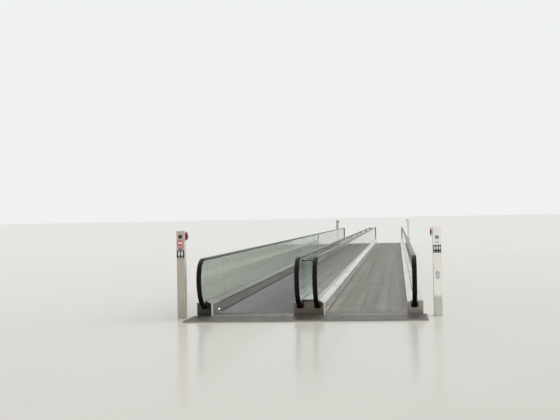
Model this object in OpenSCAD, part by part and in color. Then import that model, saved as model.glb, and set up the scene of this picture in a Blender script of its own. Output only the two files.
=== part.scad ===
// Twin moving walkway: two parallel pallet bands with glass balustrades, shared landing
// plates and four free-standing stop posts. X runs across, Y along the walkway, Z up.
// The origin is on the floor at the centre of the footprint.

/* [Walkway] */
// Length between the two comb lines
comb_run = 26000; // [12000:400:38000]
// Clear width of each lane between its skirts
lane_w = 1400; // [800:10:1600]
// Height of the walking surface above the floor
walk_h = 20; // [18:1:60]
// Distance between the glass planes of the two inner balustrades
inner_spacing = 300; // [260:5:600]

/* [Pallets] */
// Length of one pallet along the walkway
pallet_pitch = 400; // [200:1:500]
// Open joint between two pallets
pallet_joint = 6; // [3:1:12]
// Running gap between a pallet and the skirts
pallet_side_gap = 3; // [2:0.5:6]
// Depth of the pallet joints below the walking surface
joint_depth = 14; // [6:1:15]

/* [Combs] */
// Spacing of the comb teeth
tooth_pitch = 9; // [8:0.5:20]
// Width of one comb tooth
tooth_w = 4; // [3:0.5:6]
// Length of the comb teeth
tooth_len = 30; // [15:1:60]
// Thickness of the comb teeth
tooth_h = 8; // [4:1:10]
// Thickness of the comb teeth at the tip
tooth_tip_h = 3; // [2:0.5:4]
// Gap between the teeth and the pallet under them
tooth_gap = 0.5; // [0.3:0.1:2]

/* [Landing plates] */
// Length of the landing plate from its front edge to the balustrade base
plate_len = 540; // [400:1:1600]
// Height of the landing plate above the pallets
plate_rise = 5; // [1:1:20]
// How far the landing plate reaches past the side of the bases
plate_margin = 45; // [5:1:200]
// Width of the rim round the landing plate
plate_rim = 24; // [10:1:60]
// Depth of the joint between the rim and the covers
plate_groove = 5; // [2:1:12]
// Width of the joint between the covers
plate_joint = 5; // [2:1:12]

/* [Balustrade base] */
// Distance from the comb line to the front face of the base
base_lead = 340; // [120:1:600]
// Distance from the glass plane to the skirt face
skirt_offset = 120; // [90:1:220]
// Height of the skirt above the walking surface
skirt_h = 197; // [120:1:300]
// Thickness of the skirt plate
skirt_t = 4; // [2:0.5:8]
// Height of the inner deck at the glass, above the walking surface
inner_deck_h = 250; // [210:1:400]
// Distance from the glass plane to the outer side of an outer base
outer_reach = 160; // [100:1:400]
// Height of the outer and centre decks above the walking surface
outer_deck_h = 225; // [205:1:360]
// Thickness of the deck sheet
deck_t = 3; // [2:0.5:6]
// Radius of the bend along the outer deck
deck_bend = 20; // [8:1:60]
// Length of the end housings
housing_len = 500; // [350:1:1500]
// Radius of the vertical corners of the end housings
housing_corner = 28; // [10:1:60]
// Spacing of the brackets under the glass channels
bracket_pitch = 2000; // [1000:10:4000]

/* [Glass] */
// Thickness of the glass
glass_t = 12; // [8:1:20]
// Length of one straight glass pane
pane_len = 2040; // [1000:10:3000]
// Joint between two panes
pane_joint = 5; // [3:1:12]
// Wall of the channel that holds the glass
channel_wall = 9.5; // [5:0.5:20]
// Side clearance between the glass and what holds it
glass_clearance = 0.3; // [0.2:0.1:0.8]

/* [Handrail] */
// Height of the top of the handrail above the walking surface
rail_h = 1000; // [900:1:1100]
// Width of the handrail
rail_w = 80; // [70:1:100]
// Thickness of the handrail
rail_t = 32; // [26:1:44]
// Width of the guide flange inside the handrail
guide_flange_w = 58; // [50:1:64]
// Thickness of the guide flange inside the handrail
guide_flange_t = 8; // [5:0.5:12]
// Width of the guide below the handrail
guide_stem_w = 34; // [24:1:40]
// Height of the guide that shows below the handrail
guide_show = 20; // [12:1:40]
// Running clearance between the handrail and its guide
rail_clearance = 0.5; // [0.3:0.1:1]

/* [Newel] */
// Radius of the upper arc
newel_top_r = 250; // [200:1:320]
// Radius of the front arc
newel_front_r = 625; // [560:1:680]
// Radius of the lower arc
newel_low_r = 250; // [180:1:300]
// Distance that the handrail runs level past the base front before it curves
newel_level = 15; // [5:1:300]

/* [Handrail inlet] */
// Width of the inlet cap
inlet_w = 118; // [110:1:180]
// Height of the inlet cap
inlet_h = 96; // [76:1:140]
// How far the inlet cap reaches past the start of the handrail's curve
inlet_past = 50; // [10:1:55]
// Gap between the inlet cap and the handrail
inlet_gap = 7; // [6.5:0.5:8]
// Thickness of the flange round the inlet cap
inlet_flange_t = 5; // [3:0.5:8]
// How far the flange reaches past the inlet cap
inlet_flange = 6; // [3:0.5:10]

/* [Closure panel] */
// Gap between the closure panel and the glass channels on either side
closure_gap = 2.2; // [1:0.1:40]
// Distance of the top of the closure panel below the top of the handrail
closure_drop = 68; // [58:1:400]
// Distance of the closure panel behind the base front
closure_back = 50; // [45:1:330]
// Thickness of the closure panel
closure_t = 10; // [6:1:16]
// Height of the cap along the top of the closure panel
closure_cap_h = 17; // [12:1:40]

/* [Comb lights] */
// Radius of the comb light lens
light_r = 22; // [15:1:45]
// Width of the ring round the lens
light_ring = 12; // [4:1:14]
// Height of the comb light above the walking surface
light_h = 68; // [45:1:120]
// Distance of the comb light past the comb line
light_past = 20; // [0:1:200]
// How far the comb light stands out of the base
light_proud = 6; // [3:1:9]

/* [Stop posts] */
// Gap between the side of the landing plate and a post
post_gap = 115; // [70:1:400]
// Distance of the post front behind the front edge of the landing plate
post_back = 440; // [0:1:600]
// Width of a post
post_w = 140; // [120:1:220]
// Depth of a post
post_d = 92; // [80:1:200]
// Height of a post above the walking surface
post_h = 1470; // [1200:1:1700]
// Height of the seam round a post above the walking surface
post_seam_h = 616; // [300:1:1000]
// Distance of the stop button centre below the top of the post
button_drop = 90; // [85:1:300]
// Height of the stop button head
button_h = 140; // [60:1:160]
// Width of the stop button head
button_w = 60; // [40:1:64]
// Thickness of the stop button head
button_t = 26; // [12:1:40]
// Travel of the stop button
button_travel = 6; // [3:1:10]
// Radius of the stop button stem
button_stem_r = 11; // [6:1:16]
// Length of the stem inside the post
button_stem_len = 40; // [25:1:60]
// Radial clearance round the stem
button_clearance = 0.3; // [0.2:0.1:0.5]
// Distance of the left signal disc below the top of the post
left_signal_drop = 99; // [60:1:300]
// Distance of the right signal disc below the top of the post
right_signal_drop = 178; // [60:1:300]
// Radius of the signal disc
signal_r = 36; // [20:1:50]

/* [Hidden] */
$fn = 64;

// Planes across the walkway
inner_x = inner_spacing / 2;
outer_x = inner_x + 2 * skirt_offset + lane_w;
lane_x = inner_x + skirt_offset + lane_w / 2;
base_side_x = outer_x + outer_reach;
plate_x = base_side_x + plate_margin;
post_x = plate_x + post_gap + post_w / 2;

// Stations along the walkway
comb_y = comb_run / 2;
base_y = comb_y + base_lead;
housing_y = base_y - housing_len;
plate_y = base_y + plate_len;

// Heights
plate_z = walk_h + plate_rise;
skirt_z = walk_h + skirt_h;
inner_deck_z = walk_h + inner_deck_h;
outer_deck_z = walk_h + outer_deck_h;
rail_z = walk_h + rail_h - rail_t / 2;

// Handrail centre line: three arcs from the level top down and back to the base.
// top_join and low_join are the directions from the arc centres to where the arcs meet.
top_join = [0.96, 0.28];
low_join = [0.8, -0.6];
top_join_turn = atan2(top_join[1], top_join[0]);
low_join_turn = atan2(low_join[1], low_join[0]);
top_centre = [0, -newel_top_r];
front_centre = top_centre + (newel_top_r - newel_front_r) * top_join;
low_centre = front_centre + (newel_front_r - newel_low_r) * low_join;
newel_drop = newel_low_r - low_centre[1];
curve_y = base_y + newel_level;
newel_y = curve_y - low_centre[0];
rail_low_z = rail_z - newel_drop;

// Glass edge and guide, measured inwards from the handrail centre line
guide_inset = rail_t / 2 + guide_show;
guide_bite = 8;
glass_inset = guide_inset - guide_bite;
glass_low_z = rail_low_z + glass_inset;
channel_floor = 6;
channel_x = glass_t / 2 + glass_clearance + channel_wall;
rail_corner = rail_t * 0.4;

// Small fixed sizes
edge_fit = 1;
bracket_w = 60;
bracket_t = 8;
return_gap = 8;
closure_foot = [90, 50, 30];
post_corner = 8;
post_foot = [10, 10, 8];
seam_w = 3;
seam_depth = 2;
closure_cap_wall = 2.5;
button_rim = 5;
button_collar_t = 6;
button_rest_gap = button_travel + 5;
button_bulge_share = 0.7;
bore_spare = 6;
signal_t = 4;
end_relief = 2;
inlet_round = 0.38;
inlet_hole_r = 10;

// Points of an arc from angle a0 to a1, n steps
function arc_points(centre, r, a0, a1, n) =
    [for (i = [0 : n]) let (a = a0 + (a1 - a0) * i / n) centre + r * [cos(a), sin(a)]];

// Rounds points to hundredths of a millimetre, so that every length swept with them meets exactly
function hundredths(points) = [for (p = points) [round(p[0] * 100) / 100, round(p[1] * 100) / 100]];

// Rounded rectangle centred on a point
function rounded_rect(w, h, r, n = 5, centre = [0, 0]) = concat(
    arc_points(centre + [w / 2 - r, h / 2 - r], r, 0, 90, n),
    arc_points(centre + [r - w / 2, h / 2 - r], r, 90, 180, n),
    arc_points(centre + [r - w / 2, r - h / 2], r, 180, 270, n),
    arc_points(centre + [w / 2 - r, r - h / 2], r, 270, 360, n));

// Places an outline drawn in (X, Z) and extrudes it from y0 to y1
module along_y(y0, y1) {
    translate([0, y1, 0]) rotate([90, 0, 0]) linear_extrude(y1 - y0) children();
}

// Places a solid drawn in (Y, Z, X) order, so that its own z runs across the walkway
module side_view(x = 0) {
    translate([x, 0, 0]) rotate([90, 0, 90]) children();
}

// Repeats a piece at the far end
module both_ends() {
    children();
    mirror([0, 1, 0]) children();
}

module near_end() { mirror([0, 1, 0]) children(); }

// Landing plates: a rim with three covers, joined on one sheet
module landing_plate() {
    depth = plate_y - base_y;
    inner_w = 2 * plate_x - 2 * plate_rim;
    difference() {
        translate([-plate_x, base_y, 0]) cube([2 * plate_x, depth, plate_z]);
        for (y = [base_y + plate_rim, plate_y - plate_rim - plate_joint])
            translate([-inner_w / 2, y, plate_z - plate_groove])
                cube([inner_w, plate_joint, plate_groove + 1]);
        for (x = [-inner_w / 2, -lane_x / 2, lane_x / 2 - plate_joint, inner_w / 2 - plate_joint])
            translate([x, base_y + plate_rim, plate_z - plate_groove])
                cube([plate_joint, depth - 2 * plate_rim, plate_groove + 1]);
    }
}

// Comb plate: it slopes from the landing plate down to a row of tapered teeth
comb_w = lane_w - 2 * edge_fit;
tooth_count = floor((comb_w - tooth_w) / tooth_pitch) + 1;
tooth_start = -((tooth_count - 1) * tooth_pitch + tooth_w) / 2;
comb_root_y = comb_y + tooth_len;

module comb_plate() {
    tooth_under = walk_h - tooth_h;
    teeth = [for (i = [0 : tooth_count - 1]) let (x = tooth_start + i * tooth_pitch)
        each [[x, comb_root_y], [x, comb_y], [x + tooth_w, comb_y], [x + tooth_w, comb_root_y]]];
    side_view(-comb_w / 2) linear_extrude(comb_w)
        polygon([[comb_root_y, 0], [base_y, 0], [base_y, plate_z], [comb_root_y, walk_h]]);
    difference() {
        translate([0, 0, tooth_under]) linear_extrude(tooth_h)
            polygon(concat([[-comb_w / 2, comb_root_y]], teeth,
                [[comb_w / 2, comb_root_y], [comb_w / 2, comb_root_y + tooth_len],
                [-comb_w / 2, comb_root_y + tooth_len]]));
        side_view(-lane_w / 2) linear_extrude(lane_w)
            polygon([[comb_y - end_relief, walk_h + end_relief], [comb_root_y, walk_h + end_relief],
                [comb_root_y, walk_h], [comb_y, tooth_under + tooth_tip_h],
                [comb_y - end_relief, tooth_under + tooth_tip_h]]);
    }
}

module combs() {
    color("gainsboro") for (x = [-lane_x, lane_x]) translate([x, 0, 0]) comb_plate();
}

// Pallet band: pallets joined by the strip that carries them
pallet_w = lane_w - 2 * pallet_side_gap;
band_y = comb_root_y - edge_fit;
pallet_count = floor(comb_run / pallet_pitch);
pallet_first = -pallet_count * pallet_pitch / 2;

module pallet_band(x) {
    under_teeth = tooth_h + tooth_gap;
    color("dimgray") difference() {
        translate([x - pallet_w / 2, -band_y, 0]) cube([pallet_w, 2 * band_y, walk_h]);
        for (i = [1 : pallet_count - 1])
            let (y = pallet_first + i * pallet_pitch - pallet_joint / 2)
                translate([x - lane_w / 2, y, walk_h - joint_depth])
                    cube([lane_w, pallet_joint, joint_depth + 1]);
        both_ends() translate([x - lane_w / 2, comb_y - end_relief, walk_h - under_teeth])
            cube([lane_w, tooth_len + 2 * end_relief, under_teeth + 1]);
    }
}

// Skirt plates on both sides of one lane
module skirts(x) {
    color("gray") for (side = [-1, 1])
        translate([x + side * (lane_w + skirt_t) / 2 - skirt_t / 2, -housing_y, 0])
            cube([skirt_t, 2 * housing_y, skirt_z - deck_t]);
}

// Inner deck sheet, drawn with the lane on the left and the glass plane at x = 0
module inner_deck_outline() {
    nose = 2;
    lip = 14;
    polygon([
        [-skirt_offset - nose, skirt_z - lip], [-skirt_offset - nose, skirt_z],
        [-channel_x, inner_deck_z], [-channel_x, inner_deck_z - 3 * lip],
        [-channel_x - deck_t, inner_deck_z - 3 * lip], [-channel_x - deck_t, inner_deck_z - deck_t - nose],
        [-skirt_offset + skirt_t + nose, skirt_z - deck_t], [-skirt_offset, skirt_z - deck_t],
        [-skirt_offset, skirt_z - lip]]);
}

module inner_decks(x) {
    reach = lane_w / 2 + skirt_offset;
    color("silver") along_y(-housing_y, housing_y) {
        translate([x + reach, 0]) inner_deck_outline();
        translate([x - reach, 0]) mirror([1, 0]) inner_deck_outline();
    }
}

// Channel that holds the glass, with its glass plane at x = 0
module channel_outline() {
    slot = glass_t / 2 + glass_clearance;
    polygon([
        [-channel_x, glass_low_z - channel_floor], [channel_x, glass_low_z - channel_floor],
        [channel_x, inner_deck_z], [slot, inner_deck_z], [slot, glass_low_z],
        [-slot, glass_low_z], [-slot, inner_deck_z], [-channel_x, inner_deck_z]]);
}

// Bracket that carries the channel over the returning handrail
module bracket_outline() {
    inside = rail_w / 2 + return_gap;
    outside = inside + bracket_t;
    under = glass_low_z - channel_floor;
    for (side = [0, 1]) mirror([side, 0])
        polygon([[inside, 0], [outside, 0], [outside, glass_low_z], [channel_x, glass_low_z],
            [channel_x, under], [inside, under]]);
}

module brackets() {
    count = floor(2 * housing_y / bracket_pitch);
    for (i = [0 : count - 1])
        translate([0, (i - (count - 1) / 2) * bracket_pitch, 0])
            along_y(-bracket_w / 2, bracket_w / 2) bracket_outline();
}

// Outer deck sheet, bent down to the floor, with the glass plane at x = 0
module outer_deck_outline() {
    bend = [outer_reach - deck_bend, outer_deck_z - deck_bend];
    polygon(concat(
        [[channel_x, outer_deck_z - deck_t], [channel_x, outer_deck_z]],
        arc_points(bend, deck_bend, 90, 0, 6), [[outer_reach, 0], [outer_reach - deck_t, 0]],
        arc_points(bend, deck_bend - deck_t, 0, 90, 6)));
}

module outer_deck() {
    color("silver") translate([outer_x, 0, 0]) {
        along_y(-housing_y, housing_y) {
            channel_outline();
            outer_deck_outline();
        }
        brackets();
    }
}

module centre_deck() {
    color("silver") {
        along_y(-housing_y, housing_y) {
            for (x = [-inner_x, inner_x]) translate([x, 0]) channel_outline();
            translate([channel_x - inner_x, outer_deck_z - deck_t])
                square([2 * (inner_x - channel_x), deck_t]);
        }
        for (x = [-inner_x, inner_x]) translate([x, 0, 0]) brackets();
    }
}

// End housings: the same section as the base, closed, with rounded front corners
module outer_base_outline() {
    bend = [outer_reach - deck_bend, outer_deck_z - deck_bend];
    polygon(concat(
        [[-skirt_offset, 0], [-skirt_offset, skirt_z], [-channel_x, inner_deck_z],
            [channel_x, inner_deck_z], [channel_x, outer_deck_z]],
        arc_points(bend, deck_bend, 90, 0, 6), [[outer_reach, 0]]));
}

module centre_base_outline() {
    half = [[0, outer_deck_z], [inner_x - channel_x, outer_deck_z], [inner_x - channel_x, inner_deck_z],
        [inner_x + channel_x, inner_deck_z], [inner_x + skirt_offset, skirt_z], [inner_x + skirt_offset, 0]];
    polygon(concat(half, [for (i = [len(half) - 1 : -1 : 1]) [-half[i][0], half[i][1]]]));
}

module housing_plan(x0, x1) {
    polygon(concat([[x0, housing_y], [x1, housing_y]],
        arc_points([x1 - housing_corner, base_y - housing_corner], housing_corner, 0, 90, 8),
        arc_points([x0 + housing_corner, base_y - housing_corner], housing_corner, 90, 180, 8)));
}

// Slot for the glass and passage for the returning handrail
module housing_cuts() {
    slot = glass_t / 2 + glass_clearance;
    passage = rail_w / 2 + return_gap;
    along_y(housing_y - 1, base_y + 1) {
        translate([-slot, glass_low_z]) square([2 * slot, inner_deck_z]);
        translate([-passage, rail_low_z - rail_t / 2 - return_gap])
            square([2 * passage, glass_low_z - channel_floor - rail_low_z + rail_t / 2 + return_gap]);
    }
}

module outer_housing() {
    color("lightgray") translate([outer_x, 0, 0]) difference() {
        intersection() {
            along_y(housing_y, base_y) outer_base_outline();
            linear_extrude(inner_deck_z + 1) housing_plan(-skirt_offset, outer_reach);
        }
        housing_cuts();
    }
}

module centre_housing() {
    side = inner_x + skirt_offset;
    color("lightgray") difference() {
        intersection() {
            along_y(housing_y, base_y) centre_base_outline();
            linear_extrude(inner_deck_z + 1) housing_plan(-side, side);
        }
        for (x = [-inner_x, inner_x]) translate([x, 0, 0]) housing_cuts();
    }
}

// Outline of the newel at a distance inside the handrail centre line, from the top down,
// measured from the point where the handrail starts to curve
function newel_points(inset) = concat(
    arc_points(top_centre, newel_top_r - inset, 90, top_join_turn, 12),
    arc_points(front_centre, newel_front_r - inset, top_join_turn, low_join_turn, 12),
    arc_points(low_centre, newel_low_r - inset, low_join_turn, -90, 10));

// Glass: a curved newel pane at each end and straight panes between them
module balustrade_glass(x) {
    newel_pane_y = pane_len * floor(2 * housing_y / pane_len) / 2;
    pane_count = round(2 * newel_pane_y / pane_len);
    pane_start = newel_pane_y + pane_joint / 2 - newel_y;
    top = rail_z - glass_inset;
    color("lightcyan", 0.4) side_view(x - glass_t / 2) {
        linear_extrude(glass_t) {
            for (end = [0, 1]) mirror([end, 0]) translate([newel_y, rail_z])
                polygon(concat([[pane_start, -newel_drop + glass_inset], [pane_start, -glass_inset]],
                    newel_points(glass_inset)));
            for (i = [0 : pane_count - 1])
                translate([-newel_pane_y + i * pane_len + pane_joint / 2, glass_low_z])
                    square([pane_len - pane_joint, top - glass_low_z]);
        }
    }
}

// Sweeps an outline of (across, outwards) points along one arc of the newel, and trims
// it square at both ends
module sweep_arc(points, centre, r, a0, a1) {
    spare = 1;
    reach = 2 * r;
    translate(centre) difference() {
        rotate(a1) rotate_extrude(start = -spare, angle = a0 - a1 + 2 * spare)
            polygon([for (p = points) [r + p[1], p[0]]]);
        rotate(a1) translate([0, -reach, -rail_w]) cube([reach, reach, 2 * rail_w]);
        rotate(a0) translate([0, 0, -rail_w]) cube([reach, reach, 2 * rail_w]);
    }
}

// Sweeps it round the whole newel and back to the base front
module sweep_newel(points) {
    side_view() translate([newel_y, rail_z]) {
        sweep_arc(points, top_centre, newel_top_r, 90, top_join_turn);
        sweep_arc(points, front_centre, newel_front_r, top_join_turn, low_join_turn);
        sweep_arc(points, low_centre, newel_low_r, low_join_turn, -90);
    }
    translate([0, 0, rail_low_z]) along_y(base_y, curve_y) mirror([0, 1]) polygon(points);
}

module sweep_top(points) {
    along_y(-newel_y, newel_y) translate([0, rail_z]) polygon(points);
}

// Handrail: a closed loop with a C-shaped section that grips its guide
rail_half = hundredths([
    each arc_points([rail_w / 2 - rail_corner, rail_t / 2 - rail_corner], rail_corner, 90, 0, 4),
    each arc_points([rail_w / 2 - rail_corner, rail_corner - rail_t / 2], rail_corner, 0, -90, 4),
    [guide_stem_w / 2 + 2 * rail_clearance, -rail_t / 2],
    [guide_stem_w / 2 + 2 * rail_clearance, -guide_flange_t / 2 - rail_clearance],
    [guide_flange_w / 2 + rail_clearance, -guide_flange_t / 2 - rail_clearance],
    [guide_flange_w / 2 + rail_clearance, guide_flange_t / 2 + rail_clearance]]);
rail_points = concat(rail_half,
    [for (i = [len(rail_half) - 1 : -1 : 0]) [-rail_half[i][0], rail_half[i][1]]]);

module handrail(x) {
    color([0.05, 0.05, 0.05]) translate([x, 0, 0]) {
        sweep_top(rail_points);
        both_ends() sweep_newel(rail_points);
        along_y(-base_y, base_y) translate([0, rail_low_z]) mirror([0, 1]) polygon(rail_points);
    }
}

// Guide: a metal profile on the edge of the glass that the handrail runs on
guide_half = [
    [guide_flange_w / 2, guide_flange_t / 2], [guide_flange_w / 2, -guide_flange_t / 2],
    [guide_stem_w / 2, -guide_flange_t / 2], [guide_stem_w / 2, -guide_inset],
    [glass_t / 2 + glass_clearance, -guide_inset],
    [glass_t / 2 + glass_clearance, -glass_inset + glass_clearance]];
guide_points = concat(guide_half,
    [for (i = [len(guide_half) - 1 : -1 : 0]) [-guide_half[i][0], guide_half[i][1]]]);

module guide(x) {
    color("silver") translate([x, 0, 0]) {
        sweep_top(guide_points);
        both_ends() sweep_newel(guide_points);
    }
}

// Inlet cap: where the handrail goes back into the base
module inlet(x) {
    front = curve_y + inlet_past;
    hole_w = rail_w + 2 * inlet_gap;
    hole_h = rail_t / 2 + guide_inset + 2 * inlet_gap;
    middle = (guide_inset - rail_t / 2) / 2;
    slot_w = glass_t + 2 * glass_clearance;
    flange_w = inlet_w + 2 * inlet_flange;
    flange_h = inlet_h + 2 * inlet_flange;
    color([0.08, 0.08, 0.08]) translate([x, 0, rail_low_z + middle]) difference() {
        union() {
            along_y(base_y, front)
                polygon(rounded_rect(inlet_w, inlet_h, inlet_h * inlet_round));
            along_y(base_y, base_y + inlet_flange_t)
                polygon(rounded_rect(flange_w, flange_h, flange_h * inlet_round));
        }
        along_y(base_y - 1, front + 1) {
            polygon(rounded_rect(hole_w, hole_h, inlet_hole_r));
            translate([-slot_w / 2, 0]) square([slot_w, flange_h]);
        }
    }
}

module inlets() {
    for (x = [-outer_x, -inner_x, inner_x, outer_x]) inlet(x);
}

// Glass panel that closes the space between the two inner newels
closure_w = inner_spacing - 2 * (channel_x + closure_gap);
closure_top = walk_h + rail_h - closure_drop;
closure_y = base_y - closure_back;
closure_low = outer_deck_z + closure_foot[2] / 3;

module closure_panel() {
    color("lightcyan", 0.5)
        translate([-closure_w / 2, closure_y - closure_t / 2, closure_low])
            cube([closure_w, closure_t, closure_top - closure_low]);
}

module closure_clamp() {
    slot = closure_t + 2 * glass_clearance;
    difference() {
        translate([-closure_foot[0] / 2, closure_y - closure_foot[1] / 2, outer_deck_z]) cube(closure_foot);
        translate([-closure_foot[0] / 2 - 1, closure_y - slot / 2, closure_low])
            cube([closure_foot[0] + 2, slot, closure_foot[2]]);
    }
}

// Cap along the top of the panel
module closure_cap() {
    slot = closure_t + 2 * glass_clearance;
    wide = slot + 2 * closure_cap_wall;
    difference() {
        translate([-closure_w / 2, closure_y - wide / 2, closure_top - closure_cap_h + closure_cap_wall])
            cube([closure_w, wide, closure_cap_h]);
        translate([-closure_w / 2 - 1, closure_y - slot / 2, closure_top - closure_cap_h])
            cube([closure_w + 2, slot, closure_cap_h]);
    }
}

module closure_clamps() {
    color("dimgray") both_ends() {
        closure_clamp();
        closure_cap();
    }
}

// Comb lights: one on each side of each lane, beside the comb
module comb_light(x, side) {
    translate([x, comb_y - light_past, walk_h + light_h]) rotate([0, side * 90, 0]) {
        cylinder(h = light_proud, r = light_r);
        difference() {
            cylinder(h = light_proud - 2, r = light_r + light_ring);
            translate([0, 0, -1]) cylinder(h = light_proud, r = light_r - 1);
        }
    }
}

module comb_lights() {
    color("palegreen") for (lane = [-lane_x, lane_x], side = [-1, 1])
        comb_light(lane + side * lane_w / 2, -side);
}

// Stop posts, drawn on the right with the button facing the lane
post_front_y = plate_y - post_back;
post_top_z = walk_h + post_h;
button_z = post_top_z - button_drop;
button_y = post_front_y - post_d / 2;
post_side_x = post_x - post_w / 2;
button_bore_r = button_stem_r + button_clearance;

// Oblong outline of the button, grown by a margin, with its height along x
module button_outline(margin) {
    half = button_w / 2 + margin;
    polygon(rounded_rect(button_h + 2 * margin, 2 * half, half, 8));
}

module post(signal_drop) {
    color("lightsteelblue") difference() {
        union() {
            translate([post_x, button_y, post_foot[2]]) linear_extrude(post_top_z - post_foot[2])
                polygon(rounded_rect(post_w, post_d, post_corner));
            translate([post_side_x + post_foot[0], post_front_y - post_d + post_foot[1], 0])
                cube([post_w - 2 * post_foot[0], post_d - 2 * post_foot[1], post_foot[2] + 1]);
            translate([post_side_x + 1, button_y, button_z]) rotate([0, -90, 0])
                linear_extrude(button_collar_t + 1) button_outline(button_rim);
            translate([post_x, post_front_y - 1, post_top_z - signal_drop]) rotate([-90, 0, 0])
                cylinder(h = signal_t + 1, r = signal_r);
        }
        translate([post_x, button_y, walk_h + post_seam_h]) linear_extrude(seam_w) difference() {
            square([2 * post_w, 2 * post_d], center = true);
            polygon(rounded_rect(post_w - 2 * seam_depth, post_d - 2 * seam_depth, post_corner - seam_depth));
        }
        translate([post_side_x - button_collar_t - 1, button_y, button_z]) rotate([0, 90, 0])
            cylinder(h = button_collar_t + button_stem_len + button_travel + bore_spare, r = button_bore_r);
    }
}

// Stop button: an oblong head with a face that bulges along its height, on a stem
module button() {
    head_x = post_side_x - button_collar_t - button_rest_gap;
    bulge = button_t * button_bulge_share;
    bulge_r = (button_h * button_h / 4 + bulge * bulge) / (2 * bulge);
    stem_len = button_rest_gap + button_collar_t + button_stem_len;
    color("red") translate([head_x, button_y, button_z]) rotate([0, -90, 0]) {
        intersection() {
            linear_extrude(button_t) button_outline(0);
            translate([0, button_w, button_t - bulge_r]) rotate([90, 0, 0])
                cylinder(h = 2 * button_w, r = bulge_r);
        }
        translate([0, 0, -stem_len]) cylinder(h = stem_len + 1, r = button_stem_r);
    }
}

color("dimgray") near_end() landing_plate();  // near_landing_plate
color("dimgray") landing_plate();  // far_landing_plate
near_end() combs();  // near_combs
combs();  // far_combs
pallet_band(-lane_x);  // left_pallet_band
pallet_band(lane_x);  // right_pallet_band
skirts(-lane_x);  // left_skirts
skirts(lane_x);  // right_skirts
inner_decks(-lane_x);  // left_inner_decks
inner_decks(lane_x);  // right_inner_decks
mirror([1, 0, 0]) outer_deck();  // left_outer_deck
centre_deck();
outer_deck();  // right_outer_deck
mirror([1, 0, 0]) near_end() outer_housing();  // near_left_housing
near_end() centre_housing();  // near_centre_housing
near_end() outer_housing();  // near_right_housing
mirror([1, 0, 0]) outer_housing();  // far_left_housing
centre_housing();  // far_centre_housing
outer_housing();  // far_right_housing
balustrade_glass(-outer_x);  // outer_left_glass
balustrade_glass(-inner_x);  // inner_left_glass
balustrade_glass(inner_x);  // inner_right_glass
balustrade_glass(outer_x);  // outer_right_glass
guide(-outer_x);  // outer_left_guide
guide(-inner_x);  // inner_left_guide
guide(inner_x);  // inner_right_guide
guide(outer_x);  // outer_right_guide
handrail(-outer_x);  // outer_left_handrail
handrail(-inner_x);  // inner_left_handrail
handrail(inner_x);  // inner_right_handrail
handrail(outer_x);  // outer_right_handrail
near_end() inlets();  // near_inlets
inlets();  // far_inlets
near_end() closure_panel();  // near_closure_panel
closure_panel();  // far_closure_panel
closure_clamps();
near_end() comb_lights();  // near_comb_lights
comb_lights();  // far_comb_lights
mirror([1, 0, 0]) near_end() post(left_signal_drop);  // near_left_post
near_end() post(right_signal_drop);  // near_right_post
mirror([1, 0, 0]) post(left_signal_drop);  // far_left_post
post(right_signal_drop);  // far_right_post
mirror([1, 0, 0]) near_end() button();  // near_left_button
near_end() button();  // near_right_button
mirror([1, 0, 0]) button();  // far_left_button
button();  // far_right_button
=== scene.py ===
"""Twin moving walkway: the finishes, fine detail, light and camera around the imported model.
Lengths are metres, X runs across, Y along the walkway and Z up."""
import math

import bmesh
import bpy
from mathutils import Euler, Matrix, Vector


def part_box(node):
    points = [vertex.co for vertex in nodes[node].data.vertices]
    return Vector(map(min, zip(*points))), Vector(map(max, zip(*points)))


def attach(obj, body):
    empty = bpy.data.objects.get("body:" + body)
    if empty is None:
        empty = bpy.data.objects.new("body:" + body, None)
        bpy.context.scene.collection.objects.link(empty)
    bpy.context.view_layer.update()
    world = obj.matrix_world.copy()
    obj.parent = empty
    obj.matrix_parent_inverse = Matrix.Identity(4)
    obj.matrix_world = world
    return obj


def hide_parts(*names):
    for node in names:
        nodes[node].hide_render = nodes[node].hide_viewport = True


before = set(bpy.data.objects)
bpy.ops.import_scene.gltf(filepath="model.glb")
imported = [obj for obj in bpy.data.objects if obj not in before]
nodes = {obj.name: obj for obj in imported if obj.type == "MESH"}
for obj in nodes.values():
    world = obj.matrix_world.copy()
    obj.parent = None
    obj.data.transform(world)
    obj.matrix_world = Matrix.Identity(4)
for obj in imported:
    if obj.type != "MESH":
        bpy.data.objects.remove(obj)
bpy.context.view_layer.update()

ROOT = "walkway"
ENDS = {"near": -1, "far": 1}
SIDES = {"left": -1, "right": 1}
BALUSTRADES = ("outer_left", "inner_left", "inner_right", "outer_right")

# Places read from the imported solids
plate_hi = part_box("far_landing_plate")[1]
band_lo, band_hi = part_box("right_pallet_band")
comb_lo, comb_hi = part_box("far_combs")
housing_lo, housing_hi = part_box("far_right_housing")
deck_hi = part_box("right_inner_decks")[1]
skirt_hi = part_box("right_skirts")[1]
glass_lo, glass_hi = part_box("outer_right_glass")
inner_glass_lo, inner_glass_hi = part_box("inner_right_glass")
rail_lo, rail_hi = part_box("outer_right_handrail")
plate_z = plate_hi.z
walk_z = band_hi.z
base_y = housing_hi.y
lane_x = (band_lo.x + band_hi.x) / 2
outer_x = (glass_lo.x + glass_hi.x) / 2
inner_x = (inner_glass_lo.x + inner_glass_hi.x) / 2
glass_half = (glass_hi.x - glass_lo.x) / 2
GLASS_X = dict(zip(BALUSTRADES, (-outer_x, -inner_x, inner_x, outer_x)))

# Glass panes, and the sheet metal that is jointed at the same pitch
PANE_LEN, PANE_JOINT = 2.040, 0.005

# Brushing, as lines a metre along X, Y and Z
GRAIN_ACROSS, GRAIN_ALONG, GRAIN_UP = (6.0, 420.0, 420.0), (420.0, 3.0, 420.0), (420.0, 420.0, 5.0)
GUIDE_GRAIN = (420.0, 4.0, 420.0)

# Sockets of a mix node that blends colours, which share their names with those for numbers
MIX_SHARE, MIX_FIRST, MIX_SECOND, MIX_RESULT = 0, 6, 7, 2

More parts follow.
